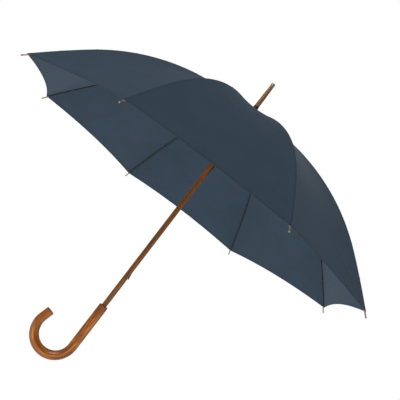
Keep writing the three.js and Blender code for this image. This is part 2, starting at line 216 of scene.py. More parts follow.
varnish = dict(
    deep=(0.120, 0.024, 0.002), mid=(0.400, 0.110, 0.006), gold=(0.720, 0.270, 0.018),
    roughness=0.30, coat=0.38, coatRoughness=0.08, barLength=0.3224,
)


def makeWoodMaterial(name, tones, roughness, coat, coatRoughness, along, wear=0.0, ends=None):
    # along: name of the attribute that holds the straightened place, grain runs on its Z
    material, tree, shader = newMaterial(name, **{
        "Roughness": roughness, "Coat Weight": coat, "Coat Roughness": coatRoughness, "Coat IOR": 1.5,
        "Specular IOR Level": 0.30,
    })
    place = ownPlace(tree, along) if along else objectPlace(tree)
    long = mapping(tree, place, (1, 1, 0.035))
    grain = noise(tree, long, 420, 6.0, 0.62, 0.7)
    rings = noise(tree, mapping(tree, place, (1, 1, 0.10)), 95, 3.0, 0.5, 1.6)
    pores = noise(tree, mapping(tree, place, (1, 1, 0.018)), 1900, 2.0, 0.6)
    blotch = noise(tree, mapping(tree, place, (1, 1, 0.5)), 22, 3.0, 0.5)
    tone = ramp(tree, rings, [(0.30, tones["deep"]), (0.48, tones["mid"]), (0.70, tones["gold"])])
    tone = mixColor(tree, ramp(tree, grain, [(0.36, 0.75), (0.62, 0.0)]), tone, tones["deep"])
    tone = mixColor(tree, ramp(tree, blotch, [(0.35, 0.0), (0.70, 0.45)]), tone, tones["mid"])
    tone = mixColor(tree, ramp(tree, pores, [(0.30, 0.6), (0.42, 0.0)]),
                    tone, tuple(0.35 * c for c in tones["deep"]))
    if ends:
        # dark end grain where the bar is cut
        height = addNode(tree, "ShaderNodeSeparateXYZ")
        wire(tree, place, height.inputs[0])
        near = maths(tree, "MINIMUM", height.outputs[2], maths(tree, "SUBTRACT", ends, height.outputs[2]))
        cutEnd = ramp(tree, maths(tree, "MULTIPLY", near, 100), [(0.0, 0.75), (0.10, 0.55), (0.22, 0.0)])
        tone = mixColor(tree, cutEnd, tone, tuple(0.3 * c for c in tones["deep"]))
    wire(tree, tone, shader.inputs["Base Color"])
    scuff = noise(tree, place, 160, 5.0, 0.65)
    wire(tree, ramp(tree, scuff, [(0.35, roughness), (0.75, min(1.0, roughness + 0.10 + wear))]),
         shader.inputs["Roughness"])
    wire(tree, bump(tree, grain, 0.12, 0.0003, bump(tree, pores, 0.10, 0.0001)), shader.inputs["Normal"])
    return material


def makeMetalMaterial(name, color, dark, roughness, metallic, scale=260, scratch=0.10):
    material, tree, shader = newMaterial(name, **{"Metallic": metallic, "Roughness": roughness})
    place = objectPlace(tree)
    cloud = noise(tree, place, scale, 5.0, 0.6, 0.3)
    streak = noise(tree, mapping(tree, place, (1, 1, 0.05)), scale * 9, 2.0, 0.5)
    wire(tree, mixColor(tree, ramp(tree, cloud, [(0.30, 0.0), (0.70, 1.0)]), dark, color),
         shader.inputs["Base Color"])
    wire(tree, ramp(tree, cloud, [(0.25, max(0.05, roughness - 0.08)), (0.75, roughness + 0.14)]),
         shader.inputs["Roughness"])
    wire(tree, bump(tree, streak, scratch, 0.0001), shader.inputs["Normal"])
    return material


def makePlasticMaterial(name, color, roughness):
    material, tree, shader = newMaterial(name, **{"Roughness": roughness, "Specular IOR Level": 0.45})
    place = objectPlace(tree)
    grainy = noise(tree, place, 1500, 3.0, 0.6)
    cloud = noise(tree, place, 120, 3.0)
    wire(tree, mixColor(tree, cloud, color, tuple(1.7 * c for c in color)), shader.inputs["Base Color"])
    wire(tree, ramp(tree, cloud, [(0.3, roughness - 0.06), (0.7, roughness + 0.08)]),
         shader.inputs["Roughness"])
    wire(tree, bump(tree, grainy, 0.12, 0.00008), shader.inputs["Normal"])
    return material


clothMaterial = makeClothMaterial()
threadMaterial = makeThreadMaterial()
crookWood = makeWoodMaterial("varnishedCrook", varnish, varnish["roughness"], varnish["coat"],
                             varnish["coatRoughness"], "straightened", 0.0, varnish["barLength"])
stickTones = dict(deep=(0.085, 0.024, 0.003), mid=(0.300, 0.104, 0.016), gold=(0.470, 0.190, 0.036))
stickWood = makeWoodMaterial("satinStick", stickTones, 0.40, 0.18, 0.18, None, 0.06)
ferruleTones = dict(deep=(0.095, 0.030, 0.005), mid=(0.320, 0.125, 0.022), gold=(0.520, 0.240, 0.055))
ferruleWood = makeWoodMaterial("ferruleWood", ferruleTones, 0.34, 0.45, 0.14, None, 0.05)
darkSteel = makeMetalMaterial("darkPlatedSteel", (0.110, 0.104, 0.098), (0.030, 0.028, 0.027), 0.34, 0.85)
ribEnamel = makeMetalMaterial("blackEnamelSteel", (0.030, 0.031, 0.034), (0.012, 0.012, 0.014),
                              0.36, 0.35, 420)
tipMetal = makeMetalMaterial("bronzeGreyTips", (0.420, 0.350, 0.255), (0.190, 0.140, 0.090), 0.30, 0.85, 500)
capMetal = makeMetalMaterial("greyCapMetal", (0.360, 0.370, 0.300), (0.140, 0.145, 0.115), 0.32, 0.85, 420)
blackPlastic = makePlasticMaterial("blackMoulded", (0.0075, 0.0078, 0.0085), 0.42)
print("finishes made:", len(bpy.data.materials))


# mesh helpers

def meshPiece(name, points, faces, material, smooth=True):
    data = bpy.data.meshes.new(name)
    data.from_pydata([tuple(p) for p in points], [], faces)
    data.materials.append(material)
    data.polygons.foreach_set("use_smooth", [smooth] * len(data.polygons))
    made = bpy.data.objects.new(name, data)
    bpy.context.scene.collection.objects.link(made)
    return made


def bake(piece, name=None):
    # the piece's modifiers become plain mesh
    graph = bpy.context.evaluated_depsgraph_get()
    data = bpy.data.meshes.new_from_object(piece.evaluated_get(graph), depsgraph=graph)
    made = bpy.data.objects.new(name or piece.name, data)
    old = piece.data
    piece.modifiers.clear()
    bpy.data.objects.remove(piece)
    if old.users == 0:
        bpy.data.meshes.remove(old)
    made.name = name or made.name
    bpy.context.scene.collection.objects.link(made)
    return made


def sharpen(piece, degrees=35):
    # smooth faces with hard edges where the shape turns
    work = bmesh.new()
    work.from_mesh(piece.data)
    for face in work.faces:
        face.smooth = True
    for edge in work.edges:
        if len(edge.link_faces) == 2:
            edge.smooth = edge.calc_face_angle() < math.radians(degrees)
    work.to_mesh(piece.data)
    work.free()
    return piece


def settle(piece, body, replaced=()):
    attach(piece, body)
    if replaced:
        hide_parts(*replaced)
    return piece


def turnedMesh(name, outline, material, sides=64, spot=None, hard=40):
    # outline: (radius, height) from bottom to top on the outside, closed at the axis or back on itself
    points, rings = [], []
    for radius, height in outline:
        if radius < 1e-7:
            rings.append([len(points)])
            points.append((0, 0, height))
        else:
            rings.append(list(range(len(points), len(points) + sides)))
            for i in range(sides):
                angle = 2 * math.pi * i / sides
                points.append((radius * math.cos(angle), radius * math.sin(angle), height))
    faces = []
    pairs = list(zip(rings[:-1], rings[1:]))
    if len(rings[0]) > 1 and len(rings[-1]) > 1:
        pairs.append((rings[-1], rings[0]))
    for low, high in pairs:
        for i in range(sides):
            j = (i + 1) % sides
            if len(low) == 1:
                faces.append((low[0], high[j], high[i]))
            elif len(high) == 1:
                faces.append((low[i], low[j], high[0]))
            else:
                faces.append((low[i], low[j], high[j], high[i]))
    made = meshPiece(name, points, faces, material)
    if spot is not None:
        made.data.transform(spot)
    work = bmesh.new()
    work.from_mesh(made.data)
    bmesh.ops.recalc_face_normals(work, faces=work.faces)
    work.to_mesh(made.data)
    work.free()
    return sharpen(made, hard)


def refined(name, source, material, bevel=0.0002, segments=2):
    # a finer copy of a CAD node: its edges get a small round
    data = nodes[source].data.copy()
    data.name = name
    made = bpy.data.objects.new(name, data)
    bpy.context.scene.collection.objects.link(made)
    work = bmesh.new()
    work.from_mesh(data)
    bmesh.ops.remove_doubles(work, verts=work.verts, dist=1e-6)
    bmesh.ops.dissolve_limit(work, angle_limit=math.radians(1.5), verts=work.verts,
                             edges=work.edges)
    bmesh.ops.recalc_face_normals(work, faces=work.faces)
    work.to_mesh(data)
    work.free()
    data.materials.clear()
    data.materials.append(material)
    if bevel:
        rounding = made.modifiers.new("edges", "BEVEL")
        rounding.width = bevel
        rounding.segments = segments
        rounding.limit_method = "ANGLE"
        rounding.angle_limit = math.radians(40)
        rounding.use_clamp_overlap = True
        made = bake(made, name)
    return sharpen(made, 32)


# Geometry Nodes

def socketOf(tree, name):
    return next(item.identifier for item in tree.interface.items_tree
                if item.name == name and item.in_out == "INPUT")


def treeInput(tree, name, kind, value=None):
    made = tree.interface.new_socket(name, in_out="INPUT", socket_type="NodeSocket" + kind)
    if value is not None:
        made.default_value = value


def rodTree():
    # sweeps a round section along the object's own line of points, whose attribute "girth" is the radius
    tree = bpy.data.node_groups.new("rodAlongLine", "GeometryNodeTree")
    treeInput(tree, "Geometry", "Geometry")
    treeInput(tree, "Sides", "Int", 16)
    treeInput(tree, "Girth Scale", "Float", 1.0)
    treeInput(tree, "Finish", "Material")
    tree.interface.new_socket("Geometry", in_out="OUTPUT", socket_type="NodeSocketGeometry")
    given = addNode(tree, "NodeGroupInput")
    result = addNode(tree, "NodeGroupOutput")
    line = addNode(tree, "GeometryNodeMeshToCurve")
    girth = addNode(tree, "GeometryNodeInputNamedAttribute", data_type="FLOAT")
    girth.inputs["Name"].default_value = "girth"
    scaled = addNode(tree, "ShaderNodeMath", operation="MULTIPLY")
    sweep = addNode(tree, "GeometryNodeCurveToMesh")
    section = addNode(tree, "GeometryNodeCurvePrimitiveCircle", mode="RADIUS")
    smooth = addNode(tree, "GeometryNodeSetShadeSmooth")
    real = addNode(tree, "GeometryNodeRealizeInstances")
    paint = addNode(tree, "GeometryNodeSetMaterial")
    # straightened place: length along the line and the section's own place, kept for grain
    spline = addNode(tree, "GeometryNodeSplineParameter")
    keepLength = addNode(tree, "GeometryNodeStoreNamedAttribute", data_type="FLOAT", domain="POINT")
    keepLength.inputs["Name"].default_value = "lengthAlong"
    place = addNode(tree, "GeometryNodeInputPosition")
    keepSection = addNode(tree, "GeometryNodeStoreNamedAttribute", data_type="FLOAT_VECTOR", domain="POINT")
    keepSection.inputs["Name"].default_value = "sectionPlace"
    section.inputs["Radius"].default_value = 1.0
    wire(tree, given.outputs["Geometry"], line.inputs["Mesh"])
    wire(tree, line.outputs["Curve"], keepLength.inputs["Geometry"])
    wire(tree, spline.outputs["Length"], keepLength.inputs["Value"])
    wire(tree, given.outputs["Sides"], section.inputs["Resolution"])
    wire(tree, section.outputs["Curve"], keepSection.inputs["Geometry"])
    wire(tree, place.outputs["Position"], keepSection.inputs["Value"])
    wire(tree, keepLength.outputs["Geometry"], sweep.inputs["Curve"])
    wire(tree, keepSection.outputs["Geometry"], sweep.inputs["Profile Curve"])
    wire(tree, girth.outputs["Attribute"], scaled.inputs[0])
    wire(tree, given.outputs["Girth Scale"], scaled.inputs[1])
    wire(tree, scaled.outputs[0], sweep.inputs["Scale"])
    sweep.inputs["Fill Caps"].default_value = True
    # straightened = section place times girth, with the length on Z
    lengthBack = addNode(tree, "GeometryNodeInputNamedAttribute", data_type="FLOAT")
    lengthBack.inputs["Name"].default_value = "lengthAlong"
    sectionBack = addNode(tree, "GeometryNodeInputNamedAttribute", data_type="FLOAT_VECTOR")
    sectionBack.inputs["Name"].default_value = "sectionPlace"
    parts = addNode(tree, "ShaderNodeSeparateXYZ")
    join = addNode(tree, "ShaderNodeCombineXYZ")
    across = addNode(tree, "ShaderNodeMath", operation="MULTIPLY")
    upward = addNode(tree, "ShaderNodeMath", operation="MULTIPLY")
    sectionSize = 0.011     # half the crook's thickness, so its grain keeps its size
    across.inputs[1].default_value = sectionSize
    upward.inputs[1].default_value = sectionSize
    straight = addNode(tree, "GeometryNodeStoreNamedAttribute", data_type="FLOAT_VECTOR", domain="POINT")
    straight.inputs["Name"].default_value = "straightened"
    wire(tree, sectionBack.outputs["Attribute"], parts.inputs[0])
    wire(tree, parts.outputs[0], across.inputs[0])
    wire(tree, parts.outputs[1], upward.inputs[0])
    wire(tree, across.outputs[0], join.inputs[0])
    wire(tree, upward.outputs[0], join.inputs[1])
    wire(tree, lengthBack.outputs["Attribute"], join.inputs[2])
    wire(tree, sweep.outputs["Mesh"], straight.inputs["Geometry"])
    wire(tree, join.outputs[0], straight.inputs["Value"])
    wire(tree, straight.outputs["Geometry"], smooth.inputs["Geometry"])
    wire(tree, smooth.outputs["Geometry"], real.inputs["Geometry"])
    wire(tree, real.outputs["Geometry"], paint.inputs["Geometry"])
    wire(tree, given.outputs["Finish"], paint.inputs["Material"])
    wire(tree, paint.outputs["Geometry"], result.inputs["Geometry"])
    return tree


def stitchTree():
    # lays one stitch on each point of the object; the point's own normal and "run" direction turn it
    tree = bpy.data.node_groups.new("stitchesOnPoints", "GeometryNodeTree")
    treeInput(tree, "Geometry", "Geometry")
    treeInput(tree, "Stitch Length", "Float", 0.002)
    treeInput(tree, "Thread Radius", "Float", 0.0002)
    treeInput(tree, "Unevenness", "Float", 0.12)
    treeInput(tree, "Finish", "Material")
    tree.interface.new_socket("Geometry", in_out="OUTPUT", socket_type="NodeSocketGeometry")
    given = addNode(tree, "NodeGroupInput")
    result = addNode(tree, "NodeGroupOutput")
    stitch = addNode(tree, "GeometryNodeMeshUVSphere")
    stitch.inputs["Segments"].default_value = 6
    stitch.inputs["Rings"].default_value = 4
    stitch.inputs["Radius"].default_value = 1.0
    run = addNode(tree, "GeometryNodeInputNamedAttribute", data_type="FLOAT_VECTOR")
    run.inputs["Name"].default_value = "run"
    lift = addNode(tree, "GeometryNodeInputNamedAttribute", data_type="FLOAT_VECTOR")
    lift.inputs["Name"].default_value = "lift"
    turn = addNode(tree, "FunctionNodeAxesToRotation", primary_axis="X", secondary_axis="Z")
    uneven = addNode(tree, "FunctionNodeRandomValue", data_type="FLOAT")
    least = addNode(tree, "ShaderNodeMath", operation="SUBTRACT")
    least.inputs[0].default_value = 1.0
    most = addNode(tree, "ShaderNodeMath", operation="ADD")
    most.inputs[0].default_value = 1.0
    uneven.inputs["Seed"].default_value = 11
    long = addNode(tree, "ShaderNodeMath", operation="MULTIPLY")
    half = addNode(tree, "ShaderNodeMath", operation="MULTIPLY")
    half.inputs[1].default_value = 0.5
    size = addNode(tree, "ShaderNodeCombineXYZ")
    lay = addNode(tree, "GeometryNodeInstanceOnPoints")
    smooth = addNode(tree, "GeometryNodeSetShadeSmooth")
    real = addNode(tree, "GeometryNodeRealizeInstances")
    paint = addNode(tree, "GeometryNodeSetMaterial")
    wire(tree, given.outputs["Geometry"], lay.inputs["Points"])
    wire(tree, stitch.outputs["Mesh"], lay.inputs["Instance"])
    wire(tree, run.outputs["Attribute"], turn.inputs["Primary Axis"])
    wire(tree, lift.outputs["Attribute"], turn.inputs["Secondary Axis"])
    wire(tree, turn.outputs["Rotation"], lay.inputs["Rotation"])
    wire(tree, given.outputs["Unevenness"], least.inputs[1])
    wire(tree, given.outputs["Unevenness"], most.inputs[1])
    wire(tree, least.outputs[0], next(s for s in uneven.inputs if s.identifier == "Min_001"))
    wire(tree, most.outputs[0], next(s for s in uneven.inputs if s.identifier == "Max_001"))
    wire(tree, given.outputs["Stitch Length"], half.inputs[0])
    wire(tree, half.outputs[0], long.inputs[0])
    wire(tree, next(s for s in uneven.outputs if s.identifier == "Value_001"), long.inputs[1])
    wire(tree, long.outputs[0], size.inputs[0])
    wire(tree, given.outputs["Thread Radius"], size.inputs[1])
    wire(tree, given.outputs["Thread Radius"], size.inputs[2])
    wire(tree, size.outputs[0], lay.inputs["Scale"])
    wire(tree, lay.outputs["Instances"], real.inputs["Geometry"])
    wire(tree, real.outputs["Geometry"], smooth.inputs["Geometry"])
    wire(tree, smooth.outputs["Geometry"], paint.inputs["Geometry"])
    wire(tree, given.outputs["Finish"], paint.inputs["Material"])
    wire(tree, paint.outputs["Geometry"], result.inputs["Geometry"])
    return tree


rodNodes = rodTree()
stitchNodes = stitchTree()


def rodPiece(name, line, girths, sides, material):
    # a swept rod through the points of line, with its radius at each point
    data = bpy.data.meshes.new(name + "_line")
    data.from_pydata([tuple(p) for p in line], [(i, i + 1) for i in range(len(line) - 1)], [])
    data.attributes.new("girth", "FLOAT", "POINT").data.foreach_set("value", np.array(girths, np.float32))
    made = bpy.data.objects.new(name + "_line", data)
    bpy.context.scene.collection.objects.link(made)
    sweep = made.modifiers.new("rod", "NODES")
    sweep.node_group = rodNodes
    sweep[socketOf(rodNodes, "Sides")] = sides
    sweep[socketOf(rodNodes, "Girth Scale")] = 1.0
    sweep[socketOf(rodNodes, "Finish")] = material
    made = bake(made, name)
    for extra in ("girth", "lengthAlong", "sectionPlace"):
        if extra in made.data.attributes:
            made.data.attributes.remove(made.data.attributes[extra])
    work = bmesh.new()
    work.from_mesh(made.data)
    bmesh.ops.recalc_face_normals(work, faces=work.faces)
    work.to_mesh(made.data)
    work.free()
    return sharpen(made, 40)


def stitchPiece(name, spots, runs, lifts, length, radius, material):
    data = bpy.data.meshes.new(name + "_spots")
    data.from_pydata([tuple(p) for p in spots], [], [])
    for key, values in (("run", runs), ("lift", lifts)):
        kept = data.attributes.new(key, "FLOAT_VECTOR", "POINT")
        kept.data.foreach_set("vector", np.array(values, np.float32).ravel())
    made = bpy.data.objects.new(name + "_spots", data)
    bpy.context.scene.collection.objects.link(made)
    lay = made.modifiers.new("stitches", "NODES")
    lay.node_group = stitchNodes
    lay[socketOf(stitchNodes, "Stitch Length")] = length
    lay[socketOf(stitchNodes, "Thread Radius")] = radius
    lay[socketOf(stitchNodes, "Unevenness")] = 0.12
    lay[socketOf(stitchNodes, "Finish")] = material
    return bake(made, name)


# rib line

rib = dict(
    count=8, pivotHeight=0.6690, pivotRadius=0.0097, startSlope=math.radians(5.7), straight=0.070,
    bendRadius=0.575, bendEnd=0.446, outerRadius=2.160, reach=0.602, rod=0.0014, flexReach=0.253,
    tipLength=0.020, jointReach=0.245, jointDrop=0.0042, eye=0.0024, eyeBore=0.0010,
    lugWidth=0.0040, lugThickness=0.0020, lugNeck=0.0022, edgeRound=0.0002,
)


def ribPlace(reach):
    # radius, height and slope of the rib's middle line at a distance from its pivot
    reach = np.asarray(reach, float)
    start, bend, outerBend = rib["startSlope"], rib["bendRadius"], rib["outerRadius"]
    flat = np.minimum(reach, rib["straight"])
    middle = start + (np.clip(reach, rib["straight"], rib["bendEnd"]) - rib["straight"]) / bend
    slope = middle + np.maximum(reach - rib["bendEnd"], 0) / outerBend
    radius = rib["pivotRadius"] + flat * math.cos(start) + bend * (np.sin(middle) - math.sin(start)) \
        + outerBend * (np.sin(slope) - np.sin(middle))
    height = rib["pivotHeight"] - flat * math.sin(start) - bend * (math.cos(start) - np.cos(middle)) \
        - outerBend * (np.cos(middle) - np.cos(slope))
    return radius, height, slope


def ribAngle(index):
    return (index + 0.5) * 2 * math.pi / rib["count"]


def spokeMatrix(index):
    return Matrix.Rotation(ribAngle(index), 4, "Z")


def inSpoke(index, x, y, z):
    return spokeMatrix(index) @ Vector((x, y, z))


# canopy

panel = dict(
    hole=0.0078, reach=0.588, hemRise=0.015, lift=0.0029, thickness=0.00035, sagMiddle=0.009, sagHem=0.0065,
    crownRise=0.0095, crownSpread=0.036, hemBand=0.009, seamBand=0.006, overlap=2, tuck=0.0001,
    # each band's end along the rib, and the share of its width kept when folded
    bands=((0.110, 0.36), (0.253, 0.24), (0.340, 0.18), (0.446, 0.15), (0.588, 0.125)),
    tilt=math.radians(7),     # how far a fold stands out
)

startReach = (panel["hole"] - rib["pivotRadius"]) / math.cos(rib["startSlope"])
flexShare = (rib["flexReach"] - startReach) / (panel["reach"] - startReach)
panelAngle = 2 * math.pi / rib["count"]


def rowShares():
    length = panel["reach"] - startReach
    inner = np.concatenate([np.linspace(0, 0.12, 9)[:-1], np.linspace(0.12, flexShare, 30)])
    hem = 1 - np.array([0.020, 0.0165, 0.0150, 0.0135, 0.0105, 0.0080, 0.0055, 0.0030, 0.0012, 0.0004,
                        0.0]) * (panel["reach"] / length)
    outer = np.concatenate([np.linspace(flexShare, hem[0], 46)[1:-1], hem])
    return np.concatenate([inner, outer])


def columnShares():
    # closer together beside the seam
    half = np.array([0, 0.0012, 0.0028, 0.005, 0.008, 0.012, 0.017, 0.024, 0.034, 0.048, 0.066, 0.088,
                     0.114, 0.144, 0.177, 0.213, 0.251, 0.291, 0.333, 0.375, 0.417, 0.459, 0.5])
    return np.concatenate([half, 1 - half[-2::-1]])


def panelRipple(index, share, across):
    # soft unevenness of the stretched cloth, nought at both ribs
    chance = np.random.default_rng(40 + index)
    phases = chance.uniform(0, 2 * math.pi, 10)
    sizes = chance.uniform(0.6, 1.0, 10)
    quiet = (4 * across * (1 - across)) ** 0.75
    low = 0.0007 * sizes[0] * np.sin(2.2 * math.pi * share + phases[0]) \
        * np.sin(math.pi * across + 0.6 * np.sin(phases[1]))
    low = low + 0.0005 * sizes[2] * np.sin(5.0 * math.pi * share + phases[2] + 3.0 * across)
    # pull lines that fan out from the two corners
    pull = 0
    for corner, (far, side) in enumerate(((1 - share, across), (1 - share, 1 - across))):
        width = 0.78 * share
        angle = np.arctan2(side * width + 1e-6, far + 1e-3)
        reach = np.hypot(side * width, far)
        pull = pull + 0.00050 * sizes[4 + corner] * np.sin(15 * angle + phases[4 + corner]) \
            * np.exp(-((reach - 0.10) / 0.13) ** 2)
    return quiet * (low * share ** 0.5 + pull)


def panelSurface(index):
    # the whole panel from rib index to the next: outer skin, outward directions, and its own places
    shares = rowShares()
    across = columnShares()
    a, c = np.meshgrid(shares, across, indexing="ij")
    bulge = 4 * c * (1 - c)
    reach = startReach + (panel["reach"] - panel["hemRise"] * bulge - startReach) * a
    radius, height, slope = ribPlace(reach)
    climb = panel["crownRise"] * np.exp(-(reach / panel["crownSpread"]) ** 2)
    chord = 2 * radius * math.sin(panelAngle / 2)
    fromRib = np.minimum(c, 1 - c) * chord
    fromHem = (1 - a) * (panel["reach"] - startReach)
    seamRise = 0.00030 * np.exp(-((fromRib - 0.0026) / 0.0020) ** 2) \
        - 0.00040 * np.exp(-(fromRib / 0.0008) ** 2)
    hemRise = 0.00022 / (1 + np.exp((fromHem - panel["hemBand"]) / 0.0004))
    lift = panel["lift"] + climb + seamRise * np.minimum(1, a * 12) + hemRise
    sag = bulge * (panel["sagMiddle"] * np.sin(math.pi * a) + panel["sagHem"] * a ** 3)
    lift = lift - sag + panelRipple(index, a, c)
    # the sag moves along the panel's own middle direction, the lift along each rib's
    middle = ribAngle(index) + panelAngle / 2
    liftOnly = lift + sag - panelRipple(index, a, c)
    baseRadius = radius + liftOnly * np.sin(slope)
    baseHeight = height + liftOnly * np.cos(slope)
    down = lift - liftOnly
    x0, y0 = math.cos(ribAngle(index)), math.sin(ribAngle(index))
    x1, y1 = math.cos(ribAngle(index) + panelAngle), math.sin(ribAngle(index) + panelAngle)
    x = baseRadius * ((1 - c) * x0 + c * x1) \
        + down * np.sin(slope) * math.cos(middle) * math.cos(panelAngle / 2)
    y = baseRadius * ((1 - c) * y0 + c * y1) \
        + down * np.sin(slope) * math.sin(middle) * math.cos(panelAngle / 2)
    z = baseHeight + down * np.cos(slope)
    points = np.stack([x, y, z], -1)
    alongRows = np.gradient(points, axis=0)
    acrossColumns = np.gradient(points, axis=1)
    outward = np.cross(alongRows, acrossColumns)
    outward /= np.linalg.norm(outward, axis=-1, keepdims=True)
    outward *= np.sign(outward[..., 2:3])
    thick = panel["thickness"] * (1 + 1.6 / (1 + np.exp((fromHem - panel["hemBand"]) / 0.0003))
                                  + 1.3 / (1 + np.exp((fromRib - panel["seamBand"]) / 0.0004)))
    weave = np.stack([(c - 0.5) * chord, reach], -1)
    edges = np.stack([fromRib, fromHem], -1)
    return dict(points=points, outward=outward, thick=thick, weave=weave, edges=edges,
                chord=chord, reach=reach, across=c)


def clothBlock(name, surface, rows, columns, sink=None):
    # a closed thin piece cut from the panel: rows and columns are index ranges
    pick = np.ix_(rows, columns)
    top, out = surface["points"][pick], surface["outward"][pick]
    if sink is not None:
        top = top - out * sink[:, None, None]
    low = top - out * surface["thick"][pick][..., None]
    n, m = top.shape[:2]
    points = np.concatenate([top.reshape(-1, 3), low.reshape(-1, 3)])
    grid = np.arange(n * m).reshape(n, m)
    below = grid + n * m
    quads = []
    topQuads = np.stack([grid[:-1, :-1], grid[1:, :-1], grid[1:, 1:], grid[:-1, 1:]], -1).reshape(-1, 4)
    lowQuads = np.stack([below[:-1, :-1], below[:-1, 1:], below[1:, 1:], below[1:, :-1]], -1).reshape(-1, 4)
    for line, under in ((grid[0], below[0]), (grid[-1][::-1], below[-1][::-1]),
                        (grid[:, 0][::-1], below[:, 0][::-1]), (grid[:, -1], below[:, -1])):
        quads.append(np.stack([line[:-1], line[1:], under[1:], under[:-1]], -1))
    quads = np.concatenate([topQuads, lowQuads, *quads])
    made = meshPiece(name, points, quads.tolist(), clothMaterial)
    data = made.data
    corner = quads.ravel()
    isTop, isLow = len(topQuads) * 4, (len(topQuads) + len(lowQuads)) * 4
    flat = out.reshape(-1, 3)
    normals = np.zeros((len(corner), 3))
    normals[:isTop] = flat[corner[:isTop]]
    normals[isTop:isLow] = -flat[corner[isTop:isLow] - n * m]
    side = quads[len(topQuads) + len(lowQuads):]
    ends = np.cross(points[side[:, 2]] - points[side[:, 0]], points[side[:, 3]] - points[side[:, 1]])
    ends /= np.maximum(np.linalg.norm(ends, axis=-1, keepdims=True), 1e-12)
    normals[isLow:] = np.repeat(ends, 4, axis=0)
    for key in ("weave", "edges"):
        layer = data.uv_layers.new(name=key)
        values = surface[key][pick].reshape(-1, 2)
        layer.data.foreach_set("uv", np.concatenate([values, values])[corner].astype(np.float32).ravel())
    data.normals_split_custom_set(normals.tolist())
    return made


def gather(piece):
    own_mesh(piece)


hemSeam = dict(pitch=0.0032, length=0.0023, thread=0.00022, above=0.00005, share=0.8)
clothPieces = 0
for index in range(rib["count"]):
    surface = panelSurface(index)
    rowCount, columnCount = surface["points"].shape[:2]
    middle = columnCount // 2
    following = (index + 1) % rib["count"]
    for half, owner, side, columns in (("first", index, 1, range(0, middle + 1)),
                                       ("second", following, -1, range(middle, columnCount))):
        columns = list(columns)
        start, firstRow = 0.0, 0
        for number, (end, keep) in enumerate(panel["bands"], 1):
            last = number == len(panel["bands"])
            lastRow = rowCount - 1 if last else int(np.argmin(np.abs(surface["reach"][:, 0] - end)))
            tucked = 0 if number == 1 else panel["overlap"]
            rows = list(range(firstRow - tucked, lastRow + 1))
            sink = np.zeros(len(rows))
            sink[:tucked] = panel["tuck"]
            piece = clothBlock(f"gore_{index + 1}_{half}_{number}", surface, rows, columns, sink)
            body = f"rib_{owner + 1}" if end <= rib["flexReach"] else f"rib_end_{owner + 1}"
            settle(piece, body, [f"gore_{index + 1}"])
            gather(piece)
            clothPieces += 1
            start, firstRow = end, lastRow
            if last:
                # one row of stitches along the hem fold
                row = int(np.argmin(np.abs(surface["edges"][:, 0, 1] - panel["hemBand"] * hemSeam["share"])))
                path, lifts = surface["points"][row, columns], surface["outward"][row, columns]
                steps = np.linalg.norm(np.diff(path, axis=0), axis=1)
                run = np.concatenate([[0], np.cumsum(steps)])
                count = int(run[-1] / hemSeam["pitch"])
                at = (np.arange(count) + 0.5) * run[-1] / count
                spots = np.stack([np.interp(at, run, path[:, k]) for k in range(3)], -1)
                ups = np.stack([np.interp(at, run, lifts[:, k]) for k in range(3)], -1)
                ways = np.stack([np.interp(at, run, np.gradient(path[:, k], run)) for k in range(3)], -1)
                sewn = stitchPiece(f"hem_stitches_{index + 1}_{half}", spots + ups * hemSeam["above"],
                                   ways, ups, hemSeam["length"], hemSeam["thread"], threadMaterial)
                settle(sewn, body)
                gather(sewn)
print("canopy pieces:", clothPieces)


# ribs, stretchers, tips

ribPiece = dict(sides=16, lineSteps=90, blendEnd=0.585, footReach=0.0022, footGirth=0.0010,
                inTip=0.0085)     # how far the rod goes into the tip


def makeLug(name, index):
    # flattened eye at the pivot, and the plate under the rod that carries the stretcher's pin
    around = Matrix.Rotation(math.pi / 2, 4, "X")
    half, soft = rib["rod"] - rib["edgeRound"], 0.0003
    ring = [(rib["eyeBore"], -half), (rib["eye"] - soft, -half), (rib["eye"], -half + soft),
            (rib["eye"], half - soft), (rib["eye"] - soft, half), (rib["eyeBore"], half)]
    eyeSpot = spokeMatrix(index) @ Matrix.Translation((rib["pivotRadius"], 0, rib["pivotHeight"])) @ around
    eye = turnedMesh(name, ring, ribEnamel, 28, eyeSpot, 50)
    radius, height, slope = (float(v) for v in ribPlace(rib["jointReach"]))
    wide, deep, thick = rib["lugWidth"] / 2, rib["jointDrop"], rib["lugThickness"] / 2
    neck, inset = rib["lugNeck"], thick - rib["edgeRound"]
    outlineShape = [(-wide * 1.5, 0.0), (-wide, -neck)]
    outlineShape += [(-wide * math.cos(math.pi * k / 12), -deep - wide * math.sin(math.pi * k / 12))
                     for k in range(13)]
    outlineShape += [(wide, -neck), (wide * 1.5, 0.0)]
    inner = [(x * 0.93, y * 0.96 if y < -0.003 else y) for x, y in outlineShape]
    count = len(outlineShape)
    layers = ((-1, thick, inner), (-1, inset, outlineShape), (1, inset, outlineShape), (1, thick, inner))
    points = [(x, side * level, z) for side, level, shape in layers for x, z in shape]
    faces = [tuple(range(count)), tuple(range(4 * count - 1, 3 * count - 1, -1))]
    for ringStart in (0, count, 2 * count):
        for k in range(count):
            j = (k + 1) % count
            faces.append((ringStart + k, ringStart + j, ringStart + count + j, ringStart + count + k))
    lugSpot = spokeMatrix(index) @ Matrix.Translation((radius, 0, height)) @ Matrix.Rotation(slope, 4, "Y")
    work = bmesh.new()
    plate = bpy.data.meshes.new(name + "_plate")
    plate.from_pydata(points, [], faces)
    plate.transform(lugSpot)
    work.from_mesh(plate)
    bmesh.ops.recalc_face_normals(work, faces=work.faces)
    work.to_mesh(plate)
    work.clear()
    work.from_mesh(eye.data)
    work.from_mesh(plate)
    work.to_mesh(eye.data)
    work.free()
    bpy.data.meshes.remove(plate)
    return sharpen(eye, 40)


